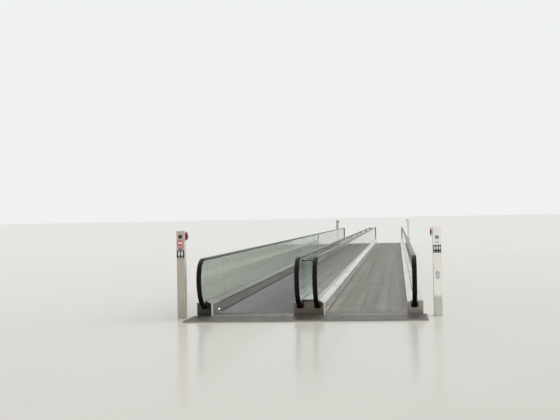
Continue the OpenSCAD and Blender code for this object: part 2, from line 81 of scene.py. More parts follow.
# Camera, fitted to the photograph
CAMERA_AT = (1.530, -23.503, 1.673)
CAMERA_TURN = (math.radians(90.648), math.radians(1.097), math.radians(3.187))
CAMERA_LENS, CAMERA_SENSOR = 38.57, 36.0
CAMERA_SHIFT = -0.15
CAMERA_REACH = 4000.0


def colour(red, green, blue):
    """A colour given as it shows on a screen, 0 to 255, as the shader takes it"""
    def linear(value):
        share = value / 255
        return share / 12.92 if share <= 0.04045 else ((share + 0.055) / 1.055) ** 2.4
    return (linear(red), linear(green), linear(blue), 1.0)


class Finish:
    """A procedural material, built up from its plain values"""

    def __init__(self, name, base, **sockets):
        self.made = bpy.data.materials.new(name)
        self.made.use_nodes = True
        self.tree = self.made.node_tree
        self.shader = self.tree.nodes["Principled BSDF"]
        self.base = base
        self.set("Base Color", base)
        for socket, value in sockets.items():
            self.set(socket.replace("_", " "), value)
        places = self.tree.nodes.new("ShaderNodeTexCoord").outputs
        self.coordinates, self.normal = places["Object"], places["Normal"]

    def feed(self, socket, value):
        """Links an output to a socket, or gives the socket a plain value"""
        if isinstance(value, bpy.types.NodeSocket):
            self.tree.links.new(value, socket)
        else:
            socket.default_value = value

    def set(self, socket, value):
        """Feeds a socket of the shader itself"""
        self.feed(self.shader.inputs[socket], value)

    def node(self, kind, inputs, **settings):
        """A new node, with what feeds its inputs and with its settings"""
        made = self.tree.nodes.new(kind)
        for name, value in settings.items():
            setattr(made, name, value)
        for name, value in dict(inputs).items():
            self.feed(made.inputs[name], value)
        return made

    def noise(self, stretch, detail=3.0, rough=0.55):
        """Noise with this many cycles a metre along X, Y and Z"""
        place = self.node("ShaderNodeMapping", {"Vector": self.coordinates, "Scale": stretch})
        values = {"Vector": place.outputs["Vector"], "Scale": 1.0,
                  "Detail": detail, "Roughness": rough}
        return self.node("ShaderNodeTexNoise", values).outputs["Fac"]

    def spread(self, value, low, high, start=0.3, end=0.7):
        """Maps a value from start..end to low..high"""
        values = {"Value": value, "From Min": start, "From Max": end,
                  "To Min": low, "To Max": high}
        return self.node("ShaderNodeMapRange", values).outputs["Result"]

    def maths(self, operation, *values):
        return self.node("ShaderNodeMath", enumerate(values), operation=operation).outputs[0]

    def component(self, vector, axis):
        return self.node("ShaderNodeSeparateXYZ", {"Vector": vector}).outputs[axis]

    def position(self, axis):
        """The place along an axis, in metres"""
        return self.component(self.coordinates, axis)

    def facing(self, axis):
        """How far the surface faces along an axis, from -1 to 1"""
        return self.component(self.normal, axis)

    def mix(self, kind, factor, second):
        """Puts a mix of the colour so far and a second colour on the shader"""
        now = self.shader.inputs["Base Color"]
        first = now.links[0].from_socket if now.is_linked else self.base
        values = {MIX_SHARE: factor, MIX_SECOND: second, MIX_FIRST: first}
        mixed = self.node("ShaderNodeMix", values,
                          data_type="RGBA", blend_type=kind, clamp_result=True)
        self.feed(now, mixed.outputs[MIX_RESULT])

    def multiply(self, factor):
        self.mix("MULTIPLY", 1.0, factor)

    def blend(self, share, tint):
        self.mix("MIX", share, tint)

    def shade(self, value, amount):
        """Darkens and lightens the colour by up to this share, by a noise"""
        self.multiply(self.spread(value, 1 - amount, 1 + amount))

    def seams(self, pitch):
        """Dark joints across the walkway, this far apart along it"""
        width, dark = 0.003, 0.35
        wave = self.maths("PINGPONG", self.position("Y"), pitch / 2)
        self.multiply(self.spread(wave, dark, 1.0, width / 2, width))

    def gloss(self, value, low, high):
        """Varies the roughness between two values, by a noise"""
        self.set("Roughness", self.spread(value, low, high))

    def relief(self, value, depth):
        """Bump, with a depth in metres"""
        bump = self.node("ShaderNodeBump", {"Height": value, "Distance": depth, "Strength": 1.0})
        self.set("Normal", bump.outputs["Normal"])


def brushed_metal(name, base, rough, lines, metallic=1.0, joints=0.0):
    """Sheet metal brushed along the axis with the fewest lines a metre, and its joints"""
    made = Finish(name, base, Metallic=metallic, Roughness=rough)
    grain = made.noise(lines, 4.0, 0.7)
    cloud = made.noise((1.7, 0.9, 2.3))
    made.shade(grain, 0.08)
    made.shade(cloud, 0.12)
    made.gloss(made.noise([n * 0.4 for n in lines]), rough - 0.06, rough + 0.08)
    made.relief(grain, 0.00003)
    if joints:
        made.seams(joints)
    return made


def skirt_metal(name, base, rough):
    """Skirt plate: brushed steel, darker along its top edge, and a shadowed gap at its foot"""
    dark, gap, clear, nose, nose_full = 0.25, 0.006, 0.026, 0.020, 0.014
    made = brushed_metal(name, base, rough, GRAIN_ALONG, joints=PANE_LEN)
    height = made.position("Z")
    made.multiply(made.spread(height, dark, 1.0, walk_z + gap, walk_z + clear))
    made.multiply(made.spread(height, 1.0, dark, skirt_hi.z - nose, skirt_hi.z - nose_full))
    return made


def housing_metal(name, top, side, front, rough):
    """End housing: deck steel on top, sides in painted light, ends in a painted dark reflection,
    and a painted highlight on one corner
    """
    made = brushed_metal(name, top, rough, GRAIN_ALONG)
    across, along = made.facing("X"), made.maths("ABSOLUTE", made.facing("Y"))
    # Painted light on the faces across X and a painted dark reflection on the ends, in the colours
    # given
    made.blend(made.spread(made.maths("ABSOLUTE", across), 0.0, 1.0, 0.45, 0.9), side)
    made.blend(made.spread(along, 0.0, 1.0, 0.45, 0.9), front)
    # Painted highlight: the corner facing +X and -Y turns near white and loses its metal, in place
    # of a glint of the light from the right
    corner = made.spread(made.maths("MULTIPLY", across, along), 0.0, 1.0, 0.2, 0.36)
    made.blend(corner, colour(255, 254, 250))
    made.set("Metallic", made.maths("SUBTRACT", 1.0, corner))
    return made


def pallet_metal(name, base, streaks):
    """Cast aluminium pallets, streaked by traffic, with painted shade darkening the grooves below
    the cleat tops
    """
    made = Finish(name, base, Metallic=0.2, Specular_IOR_Level=0.4)
    made.shade(made.noise((7.0, 0.1, 1.0), 4.0, 0.65), streaks)
    made.shade(made.noise((1.6, 1.5, 1.0)), 0.08)
    made.gloss(made.noise((30.0, 3.0, 30.0)), 0.45, 0.59)
    made.relief(made.noise((260.0, 260.0, 260.0), 2.0), 0.00006)
    # Painted shade: darker down into the grooves between the cleats
    made.multiply(made.spread(made.position("Z"), 0.72, 1.0, walk_z - 0.009, walk_z - 0.001))
    return made


def post_metal(name, base, side, foot, metallic):
    """Satin post cover, with painted light and shade on its sides and painted shade below a joint
    near its foot
    """
    joint_z, fade = 0.30, 0.06
    made = brushed_metal(name, base, 0.38, GRAIN_UP, metallic=metallic)
    across = made.maths("ABSOLUTE", made.facing("X"))
    # Painted light and shade on the sides, in the colour given
    made.blend(made.spread(across, 0.0, 1.0, 0.6, 0.9), side)
    # Painted shade below the joint, by the share given for the foot
    made.multiply(made.spread(made.position("Z"), foot, 1.0, joint_z, joint_z + fade))
    return made


def cast_plate(name, base, rough):
    """Anodised aluminium plate with scuffed ribs, and painted light on its faces across the walkway
    """
    made = Finish(name, base, Metallic=0.6, Roughness=rough)
    made.shade(made.noise((3.0, 1.3, 1.0), 4.0, 0.6), 0.14)
    made.shade(made.noise((45.0, 9.0, 30.0)), 0.1)
    # Painted light: faces across the walkway are blended to a lighter tone
    end_face_light = made.maths("ABSOLUTE", made.facing("Y"))
    made.blend(made.spread(end_face_light, 0.0, 1.0, 0.6, 0.9), colour(150, 147, 140))
    made.gloss(made.noise((8.0, 8.0, 8.0), 4.0), rough - 0.08, rough + 0.1)
    made.relief(made.noise((350.0, 350.0, 350.0), 2.0), 0.00005)
    return made


def rubber_skin(made, patches, low, high):
    """Scuffs, uneven gloss and a fine grain"""
    made.shade(made.noise((25.0, 2.0, 25.0)), patches)
    made.gloss(made.noise((12.0, 1.2, 12.0)), low, high)
    made.relief(made.noise((700.0, 700.0, 700.0), 2.0), 0.00004)
    return made


def handrail_rubber(name, base, painted_sheen):
    """Black rubber, with a painted grey sheen along the runs between the newels"""
    made = Finish(name, base, Specular_IOR_Level=0.15)
    from_middle = made.maths("ABSOLUTE", made.position("Y"))
    # Painted sheen: the level runs are blended to grey, in place of the reflection of light at a
    # grazing angle
    made.blend(made.spread(from_middle, 1.0, 0.0, base_y - 0.2, base_y + 0.1), painted_sheen)
    return rubber_skin(made, 0.2, 0.22, 0.36)


def rubber(name, base, rough):
    """Matt rubber of seals"""
    made = Finish(name, base, Roughness=rough, Specular_IOR_Level=0.3)
    return rubber_skin(made, 0.25, rough - 0.08, rough + 0.1)


def moulded(name, base, rough, coat=0.0):
    """Moulded or painted plastic with a fine skin"""
    made = Finish(name, base, Roughness=rough, Coat_Weight=coat, Coat_Roughness=0.08)
    made.shade(made.noise((18.0, 18.0, 18.0)), 0.06)
    made.gloss(made.noise((60.0, 60.0, 60.0)), rough - 0.05, rough + 0.06)
    made.relief(made.noise((900.0, 900.0, 900.0), 2.0), 0.00002)
    return made


def clear_glass(name, base, rough):
    """Toughened glass with a faint film of dust and fingerprints"""
    made = Finish(name, base, Transmission_Weight=1.0, Roughness=rough, IOR=1.46)
    made.gloss(made.noise((5.0, 3.0, 4.0), 4.0), rough, rough + 0.03)
    made.blend(made.spread(made.noise((1.2, 0.7, 1.5)), 0.0, 0.12), colour(214, 226, 220))
    return made


def lit_lens(name, base, glow):
    """Pressed lens that glows in its own colour"""
    made = Finish(name, base, Roughness=0.25, Emission_Color=base, Emission_Strength=glow)
    made.shade(made.noise((120.0, 120.0, 120.0), 2.0), 0.05)
    made.relief(made.noise((600.0, 600.0, 600.0), 2.0), 0.00005)
    return made


FINISHES = {
    "landing_plate": cast_plate("ribbed_plate", colour(108, 104, 96), 0.42),
    "rim": brushed_metal("plate_rim", colour(150, 148, 142), 0.34, GRAIN_ACROSS),
    "trim": brushed_metal("trim_strip", colour(172, 170, 164), 0.36, GRAIN_ACROSS),
    "comb": cast_plate("comb_metal", colour(112, 110, 105), 0.4),
    # The two lanes' pallets differ by painted light and shade: the left lane darker and cooler, the
    # right lane lighter and warmer
    "left_pallet": pallet_metal("pallet_cool_shaded", colour(181, 181, 183), 0.07),
    "right_pallet": pallet_metal("pallet_warm_lit", colour(202, 200, 192), 0.16),
    # Lit and shaded copies of the skirt steel: painted shade on the left lane, painted light on the
    # right
    "left_skirt": skirt_metal("skirt_steel_shaded", colour(212, 212, 205), 0.3),
    "right_skirt": skirt_metal("skirt_steel_lit", colour(246, 246, 250), 0.3),
    "deck": brushed_metal("deck_steel", colour(218, 218, 208), 0.28, GRAIN_ALONG, joints=PANE_LEN),
    # A copy of the deck steel darkened with painted shade, for the left lane's inner decks
    "left_deck": brushed_metal("deck_steel_shaded", colour(150, 148, 139), 0.28, GRAIN_ALONG,
                               joints=PANE_LEN),
    # Lit and shaded copies of the housing steel: darker with painted shade on the left, lighter
    # with painted light on the right
    "left_housing": housing_metal("housing_steel_shaded", colour(166, 163, 152),
                                  colour(212, 210, 196), colour(78, 73, 67), 0.3),
    "centre_housing": housing_metal("housing_steel", colour(206, 204, 196),
                                    colour(232, 231, 227), colour(117, 108, 98), 0.3),
    "right_housing": housing_metal("housing_steel_lit", colour(214, 213, 205),
                                   colour(232, 231, 227), colour(168, 161, 152), 0.3),
    # Lit and shaded copies of the glass: the outer left darker and greener with painted shade, the
    # inner ones lighter with painted light
    "glass": clear_glass("toughened_glass", colour(238, 248, 243), 0.0),
    "outer_left_glass": clear_glass("toughened_glass_shaded", colour(198, 207, 196), 0.0),
    "inner_glass": clear_glass("toughened_glass_lit", colour(252, 255, 253), 0.0),
    "glass_edge": clear_glass("glass_edge", colour(120, 190, 165), 0.12),
    "guide": brushed_metal("guide_steel", colour(200, 200, 196), 0.26, GUIDE_GRAIN),
    "handrail": handrail_rubber("handrail_rubber", colour(9, 9, 9), colour(82, 84, 78)),
    "gasket": rubber("gasket_rubber", colour(40, 40, 40), 0.6),
    "inlet": moulded("inlet_plastic", colour(22, 22, 22), 0.4),
    "clamp": brushed_metal("clamp_steel", colour(84, 86, 78), 0.35, GRAIN_UP),
    "lens": lit_lens("light_lens", colour(252, 250, 208), 1.9),
    "dark_ring": moulded("light_ring", colour(46, 46, 41), 0.4),
    # Lit and shaded copies of the post steel: their fronts, sides and feet hold painted light and
    # shade
    "left_post": post_metal("post_steel_shaded", colour(208, 196, 183), colour(250, 245, 239),
                            0.92, 0.2),
    "right_post": post_metal("post_steel_lit", colour(252, 247, 240), colour(214, 207, 199),
                             0.66, 0.85),
    "red": moulded("button_red", colour(128, 16, 48), 0.34, 0.25),
    "pink": moulded("button_rim", colour(244, 206, 212), 0.4, 0.3),
    "sign_pink": moulded("sign_pink", colour(228, 158, 164), 0.4),
    "sign_pale": moulded("sign_pale", colour(226, 200, 192), 0.4),
    "sign_red": moulded("sign_red", colour(235, 118, 121), 0.4, 0.3),
    "sign_white": moulded("sign_white", colour(250, 249, 247), 0.4, 0.3),
    "sign_black": moulded("sign_black", colour(30, 30, 31), 0.4, 0.3),
    "dark_lens": moulded("dark_lens", colour(38, 31, 26), 0.25, 0.15),
    "grey_lens": moulded("grey_lens", colour(152, 151, 147), 0.25, 0.3),
}


class Solid:
    """Collects shells and turns them into one object"""

    def __init__(self):
        self.points, self.faces, self.finish_of = [], [], []

    def add(self, points, faces, finish=0):
        """Adds a shell, whose faces count from its own first point"""
        start = len(self.points)
        self.points += [tuple(p) for p in points]
        self.faces += [[start + i for i in face] for face in faces]
        self.finish_of += [finish] * len(faces)

    def loft(self, rings, finish=0, closed=False):
        """Skins rings of equal length, with end caps unless the rings close on themselves"""
        count, sides = len(rings), len(rings[0])
        faces = []
        for i in range(count if closed else count - 1):
            a, b = i * sides, (i + 1) % count * sides
            faces += [[a + j, a + (j + 1) % sides, b + (j + 1) % sides, b + j]
                      for j in range(sides)]
        if not closed:
            faces += [list(range(sides))[::-1], [(count - 1) * sides + j for j in range(sides)]]
        self.add([p for ring in rings for p in ring], faces, finish)

    def box(self, low, high, finish=0):
        """A box between two corners"""
        corners = [(low[0], low[1]), (high[0], low[1]), (high[0], high[1]), (low[0], high[1])]
        self.loft([[(x, y, z) for x, y in corners] for z in (low[2], high[2])], finish)

    def prism(self, outline, axis, start, end, finish=0):
        """Extrudes an outline along X from (Y, Z) or along Y from (X, Z)"""
        def place(p, at):
            return {"x": (at, p[0], p[1]), "y": (p[0], at, p[1])}[axis]
        self.loft([[place(p, at) for p in outline] for at in (start, end)], finish)

    def turned(self, profile, centre, axis, sides, finish=0):
        """Revolves a profile of (radius, along) points, and closes it with flat ends"""
        def place(radius, along, angle):
            a, b = radius * math.cos(angle), radius * math.sin(angle)
            return {"x": (along, a, b), "y": (a, along, b), "z": (a, b, along)}[axis]
        turns = [2 * math.pi * i / sides for i in range(sides)]
        self.loft([[Vector(centre) + Vector(place(r, along, t)) for t in turns]
                   for r, along in profile], finish)

    def make(self, name, finishes, slot, body=ROOT, bevel=0.0, smooth=None, replaces=()):
        """Makes the object, smooth up to an angle in degrees, and hangs it on its body; the slot is
        not used
        """
        mesh = bpy.data.meshes.new(name)
        mesh.from_pydata(self.points, [], self.faces)
        shell = bmesh.new()
        shell.from_mesh(mesh)
        bmesh.ops.recalc_face_normals(shell, faces=shell.faces)
        shell.to_mesh(mesh)
        shell.free()
        mesh.polygons.foreach_set("material_index", self.finish_of)
        for finish in finishes:
            mesh.materials.append(FINISHES[finish].made)
        if smooth is not None:
            mesh.shade_smooth()
            mesh.set_sharp_from_angle(angle=math.radians(smooth))
        made = bpy.data.objects.new(name, mesh)
        bpy.context.scene.collection.objects.link(made)
        if bevel:
            soften(made, bevel)
        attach(made, body)
        if replaces:
            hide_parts(*replaces)


EDGE = 0.001


def soften(piece, width):
    """Rounds the sharp edges of a piece"""
    edge = piece.modifiers.new("edges", "BEVEL")
    edge.width, edge.segments = width, 2
    edge.limit_method, edge.angle_limit = "ANGLE", math.radians(40)


def dress(node, finish, bevel=EDGE):
    """Gives a CAD node its material and softened edges"""
    piece = nodes[node]
    piece.data.materials.clear()
    piece.data.materials.append(FINISHES[finish].made)
    soften(piece, bevel)


def arc(centre, radius, start, end, steps):
    """Points of an arc, with angles in degrees"""
    turns = [math.radians(start + (end - start) * i / steps) for i in range(steps + 1)]
    return [(centre[0] + radius * math.cos(t), centre[1] + radius * math.sin(t)) for t in turns]


def rounded(width, height, radius, centre=(0.0, 0.0), steps=6):
    """A rectangle with round corners"""
    x, y = width / 2 - radius, height / 2 - radius
    return [p for i, (a, b) in enumerate(((x, y), (-x, y), (-x, -y), (x, -y)))
            for p in arc((centre[0] + a, centre[1] + b), radius, 90 * i, 90 * (i + 1), steps)]


def mirrored(half):
    """A closed outline from its right half, top to bottom"""
    return half + [(-x, y) for x, y in reversed(half)]


# Handrail loop, seen from the side as (Y, Z)
RAIL_T, RAIL_W = 0.032, rail_hi.x - rail_lo.x
NEWEL_LEVEL, NEWEL_OUT = 0.015, 0.060
NEWEL_TOP_R, NEWEL_FRONT_R, NEWEL_LOW_R = 0.250, 0.625, 0.250
TOP_JOIN, LOW_JOIN = Vector((0.96, 0.28)), Vector((0.8, -0.6))
rail_z = rail_hi.z - RAIL_T / 2
newel_y = base_y + NEWEL_LEVEL + NEWEL_OUT
top_centre = Vector((newel_y, rail_z - NEWEL_TOP_R))
front_centre = top_centre + (NEWEL_TOP_R - NEWEL_FRONT_R) * TOP_JOIN
low_centre = front_centre + (NEWEL_FRONT_R - NEWEL_LOW_R) * LOW_JOIN
rail_low_z = low_centre.y - NEWEL_LOW_R
top_turn = math.degrees(math.atan2(TOP_JOIN.y, TOP_JOIN.x))
low_turn = math.degrees(math.atan2(LOW_JOIN.y, LOW_JOIN.x))
ARC_STEP = 2.5
# Points on the straight runs: along the top one, and this far inside the ends of the lower one
RAIL_TOP_STOPS = (-8.0, 0.0, 8.0)
RAIL_LOW_INSET = 0.4


def newel_line():
    """Centre line of the handrail round the far newel, as (point, outward direction)"""
    line = []
    for centre, radius, start, end in ((top_centre, NEWEL_TOP_R, 90, top_turn),
                                       (front_centre, NEWEL_FRONT_R, top_turn, low_turn),
                                       (low_centre, NEWEL_LOW_R, low_turn, -90)):
        steps = math.ceil((start - end) / ARC_STEP)
        for i in range(1 if line else 0, steps + 1):
            turn = math.radians(start + (end - start) * i / steps)
            out = Vector((math.cos(turn), math.sin(turn)))
            line.append((centre + radius * out, out))
    return line


def swept(solid, outline, line, x, closed):
    """Sweeps an outline of (across, outward) points along a line in the plane of the glass"""
    rings = [[(x + a, p.x + out.x * b, p.y + out.y * b) for a, b in outline] for p, out in line]
    solid.loft(rings, closed=closed)


def near_line(line):
    """The line round the far newel mirrored to the near one, and run the other way"""
    return [(Vector((-p.x, p.y)), Vector((-out.x, out.y))) for p, out in reversed(line)]


def rail_section():
    """The C-shaped section: crown, sides, lips and the slot that grips the guide"""
    crown, side, lip = 0.002, 0.0135, 0.004
    half_w, half_t = RAIL_W / 2, RAIL_T / 2
    slot_w, slot_t, mouth = 0.0295, 0.0045, 0.018
    half = [(0.0, half_t), (half_w * 0.4, half_t - crown * 0.25)]
    half += arc((half_w - side, half_t - crown - side), side, 84, 0, 8)
    half += arc((half_w - side, side - half_t), side, 0, -90, 8)
    half += arc((mouth + lip, lip - half_t), lip, 270, 180, 4)
    half += [(mouth, -slot_t), (slot_w, -slot_t), (slot_w, slot_t), (0.0, slot_t)]
    return mirrored(half)


def handrails():
    """Rubber handrails, each a closed loop round both newels and back inside the base"""
    far = newel_line()
    inside = base_y - RAIL_LOW_INSET
    back = [(Vector((y, rail_low_z)), Vector((0, -1))) for y in (base_y, inside, -inside, -base_y)]
    top = [(Vector((y, rail_z)), Vector((0, 1))) for y in RAIL_TOP_STOPS]
    line = top + far + back + near_line(far)
    for name, x in GLASS_X.items():
        solid = Solid()
        swept(solid, rail_section(), line, x, True)
        solid.make(name + "_rubber_handrail", ["handrail"], "handrail", smooth=40,
                   replaces=[name + "_handrail"])


GUIDE_SHOW = 0.020
GLASS_FIT, GLASS_GRIP = 0.0003, 0.008


def guides():
    """Steel profile on the edge of the glass, with its flange inside the handrail"""
    flange_w, flange_t, stem_w, nose = 0.058, 0.008, 0.034, 0.003
    slot_w = glass_half + GLASS_FIT
    low = RAIL_T / 2 + GUIDE_SHOW
    half = [(flange_w / 2, flange_t / 2), (flange_w / 2, -flange_t / 2),
            (stem_w / 2, -flange_t / 2)]
    half += arc((stem_w / 2 - nose, nose - low), nose, 0, -90, 4)
    half += [(slot_w, -low), (slot_w, GLASS_FIT + GLASS_GRIP - low)]
    far = newel_line()
    line = near_line(far) + far
    for name, x in GLASS_X.items():
        solid = Solid()
        swept(solid, mirrored(half), line, x, False)
        solid.make(name + "_guide_profile", ["guide"], "guide", smooth=35,
                   replaces=[name + "_guide"])


def panes():
    """Toughened panes with ground edges: a curved one at each end and straight ones between"""
    inset = RAIL_T / 2 + GUIDE_SHOW - GLASS_GRIP
    low, top = glass_lo.z, glass_hi.z
    last = housing_lo.y
    count = int(2 * last / PANE_LEN)
    first = -count * PANE_LEN / 2
    newel = [tuple(p - out * inset) for p, out in newel_line()]
    start = -first + PANE_JOINT / 2
    outlines = [[(start, low), (start, top)] + newel]
    outlines.append([(-y, z) for y, z in reversed(outlines[0])])
    for i in range(count):
        y0 = first + i * PANE_LEN + PANE_JOINT / 2
        y1 = y0 + PANE_LEN - PANE_JOINT
        outlines.append([(y0, low), (y1, low), (y1, top), (y0, top)])
    for name, x in GLASS_X.items():
        solid = Solid()
        for outline in outlines:
            # All of the pane gets the ground edge's finish, and then its two faces the clear one
            solid.prism(outline, "x", x - glass_half, x + glass_half, 1)
            solid.finish_of[-2:] = [0, 0]
        # Each balustrade takes a glass copy that holds painted light or painted shade
        tint = {"outer_left": "outer_left_glass", "outer_right": "glass"}.get(name, "inner_glass")
        solid.make(name + "_panes", [tint, "glass_edge"], "glass", replaces=[name + "_glass"])


# Pallets and combs
TOOTH_PITCH, TOOTH_W, TOOTH_LEN = 0.009, 0.004, 0.030
PALLET_PITCH, PALLET_JOINT = 0.400, 0.006
CLEAT_TOP, CLEAT_FOOT, CLEAT_H = 0.0028, 0.0036, 0.010
comb_y = comb_lo.y
comb_root = comb_y + TOOTH_LEN
comb_w = comb_hi.x - lane_x
tooth_count = int((2 * comb_w - TOOTH_W) / TOOTH_PITCH) + 1
cleat_count = tooth_count - 1
cleat_first = -(cleat_count - 1) * TOOTH_PITCH / 2


def cleat_row(solid, lane, y0, y1):
    """Cleats of one pallet, without the faces on which they stand"""
    top, foot, low = CLEAT_TOP / 2, CLEAT_FOOT / 2, walk_z - CLEAT_H
    for i in range(cleat_count):
        x = lane + cleat_first + i * TOOTH_PITCH
        section = [(x - foot, low), (x + foot, low), (x + top, walk_z), (x - top, walk_z)]
        points = [(a, y, b) for y in (y0, y1) for a, b in section]
        solid.add(points, [[1, 5, 6, 2], [2, 6, 7, 3], [3, 7, 4, 0], [0, 1, 2, 3], [7, 6, 5, 4]])


def pallets():
    """Grooved pallets whose cleats pass between the teeth of the combs"""
    count = int(round(2 * comb_y / PALLET_PITCH))
    half, carrier_z = band_hi.x - lane_x, 0.006
    edges = [-comb_y + i * PALLET_PITCH for i in range(count + 1)]
    spans = [(a + PALLET_JOINT / 2, b - PALLET_JOINT / 2) for a, b in zip(edges, edges[1:])]
    spans += [(comb_y + PALLET_JOINT / 2, band_hi.y), (band_lo.y, -comb_y - PALLET_JOINT / 2)]
    for side, sign in SIDES.items():
        lane = sign * lane_x
        solid = Solid()
        for y0, y1 in spans:
            solid.box((lane - half, y0, carrier_z), (lane + half, y1, walk_z - CLEAT_H))
            cleat_row(solid, lane, y0, y1)
        solid.box((lane - half, band_lo.y, 0.0), (lane + half, band_hi.y, carrier_z))
        solid.make(side + "_pallets", [side + "_pallet"], "pallet",
                   replaces=[side + "_pallet_band"])


COMB_SEGMENTS = 7
COMB_SEAM_Y = comb_root + 0.165
COMB_LAP = 0.001


def comb_top(y):
    """Height of the comb plate, which slopes up to the landing plate"""
    return walk_z + (plate_z - walk_z) * max(0.0, y - comb_root) / (base_y - comb_root)


def combs():
    """Comb segments with sloping teeth and ribs that run on behind them"""
    rib_h, tip_h, seam, under, slope = 0.0012, 0.003, 0.0012, 0.008, 0.006
    rib = [(comb_root, -COMB_LAP), (comb_root, 0.0), (comb_root + slope, rib_h),
           (COMB_SEAM_Y - 2 * slope, rib_h), (COMB_SEAM_Y - slope, 0.0),
           (COMB_SEAM_Y - slope, -COMB_LAP)]
    rows = (comb_root, COMB_SEAM_Y - seam / 2), (COMB_SEAM_Y + seam / 2, base_y)
    for end, way in ENDS.items():
        solid = Solid()
        for lane in (-lane_x, lane_x):
            for i in range(COMB_SEGMENTS):
                x0 = lane - comb_w + i * 2 * comb_w / COMB_SEGMENTS
                x1 = x0 + 2 * comb_w / COMB_SEGMENTS
                for y0, y1 in rows:
                    block = [(y0, 0), (y1, 0), (y1, comb_top(y1)), (y0, comb_top(y0))]
                    solid.prism([(way * y, z) for y, z in block],
                                "x", x0 + seam / 2, x1 - seam / 2)
            for i in range(tooth_count):
                x = lane + (i - (tooth_count - 1) / 2) * TOOTH_PITCH
                root = way * (comb_root + COMB_LAP)
                tooth = [(way * comb_y, walk_z - under), (way * comb_y, walk_z - under + tip_h),
                         (way * comb_root, walk_z), (root, walk_z), (root, walk_z - under)]
                ridge = [(way * y, comb_top(y) + rise) for y, rise in rib]
                for outline in (tooth, ridge):
                    solid.prism(outline, "x", x - TOOTH_W / 2, x + TOOTH_W / 2)
        solid.make(end + "_comb_segments", ["comb"], "comb", replaces=[end + "_combs"])


PLATE_RIM, PLATE_JOINT = 0.024, 0.005
RIB_PITCH, RIB_W, RIB_H = 0.009, 0.0042, 0.0013
TRIM_FROM, TRIM_TO, TRIM_H = 0.056, 0.088, 0.0016
PLATE_SUNK = 0.0005


def landing_ribs():
    """Ribs along the covers of the landing plates, and a trim strip behind each comb"""
    gap = 0.004
    edge = PLATE_RIM + PLATE_JOINT + gap
    root, crest = plate_z - PLATE_SUNK, plate_z + RIB_H
    bays = [(-plate_hi.x + edge, -lane_x / 2 - gap),
            (-lane_x / 2 + PLATE_JOINT + gap, lane_x / 2 - PLATE_JOINT - gap),
            (lane_x / 2 + gap, plate_hi.x - edge)]
    for end, way in ENDS.items():
        solid = Solid()
        y0, y1 = way * (base_y + edge), way * (plate_hi.y - edge)
        for low, high in bays:
            count = int((high - low - RIB_W) / RIB_PITCH)
            first = (low + high - count * RIB_PITCH) / 2
            for i in range(count + 1):
                x = first + i * RIB_PITCH
                solid.prism([(x - RIB_W / 2, root), (x + RIB_W / 2, root),
                             (x + RIB_W / 4, crest), (x - RIB_W / 4, crest)], "y", y0, y1)
        trim_lo, trim_hi = sorted((way * (base_y + TRIM_FROM), way * (base_y + TRIM_TO)))
        for lane in (-lane_x, lane_x):
            solid.box((lane - comb_w, trim_lo, root),
                      (lane + comb_w, trim_hi, plate_z + TRIM_H), 1)
        solid.make(end + "_landing_ribs", ["landing_plate", "trim"], "landing_plate")
        dress(end + "_landing_plate", "landing_plate")


def screw(solid, x, y, z):
    """Countersunk screw head with a socket, just proud of a level surface"""
    radius, proud, sides = 0.005, 0.0007, 12
    socket, sunk, floor = radius * 0.45, -0.001, -0.0008
    profile = [(radius, sunk), (radius, proud * 0.4), (radius * 0.8, proud), (socket, proud),
               (socket, floor)]
    solid.turned(profile, (x, y, z), "z", sides)


def floor_screws():
    """Screws that hold the rims of the landing plates and the comb segments"""
    count, corner, comb_back, comb_half = 10, 0.05, 0.24, 0.05
    comb_screw_y = comb_root + comb_back
    for end, way in ENDS.items():
        solid = Solid()
        for i in range(count):
            x = (plate_hi.x - corner) * (2 * i / (count - 1) - 1)
            screw(solid, x, way * (plate_hi.y - PLATE_RIM / 2), plate_z)
        for sign in (-1, 1):
            for share in (0.2, 0.5, 0.8):
                y = base_y + share * (plate_hi.y - base_y)
                screw(solid, sign * (plate_hi.x - PLATE_RIM / 2), way * y, plate_z)
            for i in range(COMB_SEGMENTS):
                middle = sign * lane_x + (i - (COMB_SEGMENTS - 1) / 2) * 2 * comb_w / COMB_SEGMENTS
                for across in (-comb_half, comb_half):
                    screw(solid, middle + across, way * comb_screw_y, comb_top(comb_screw_y))
        solid.make(end + "_floor_screws", ["rim"], "landing_plate", smooth=40)


def bases():
    """Steel of the skirts, decks, housings and glass channels"""
    for side in SIDES:
        dress(side + "_skirts", side + "_skirt", 0.0008)
        # The left lane's inner decks take the copy darkened with painted shade
        dress(side + "_inner_decks", "left_deck" if side == "left" else "deck")
        dress(side + "_outer_deck", "deck")
    dress("centre_deck", "deck")
    for end in ENDS:
        for place in ("left", "centre", "right"):
            dress(f"{end}_{place}_housing", place + "_housing", 0.0015)


GASKET_W, GASKET_H = 0.0035, 0.003


def gaskets():
    """Rubber strips that seal the glass in its channel"""
    top, root = deck_hi.z, deck_hi.z - 0.001
    for name, x in GLASS_X.items():
        solid = Solid()
        for side in (-1, 1):
            inner, outer = x + side * glass_half, x + side * (glass_half + GASKET_W)
            for way in ENDS.values():
                solid.prism([(inner, root), (outer, root), (outer, top + GASKET_H * 0.5),
                             (inner, top + GASKET_H)], "y", 0.0, way * base_y)
        solid.make(name + "_glass_gasket", ["gasket"], "inlet")


def closure_seals():
    """Rail that seals the foot of the closure panel against the deck"""
    short, wall, below, above = 0.003, 0.004, 0.010, 0.022
    for end in ENDS:
        low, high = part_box(end + "_closure_panel")
        solid = Solid()
        solid.box((low.x + short, low.y - wall, low.z - below),
                  (high.x - short, high.y + wall, low.z + above))
        solid.make(end + "_closure_seal", ["clamp"], "clamp", bevel=EDGE)


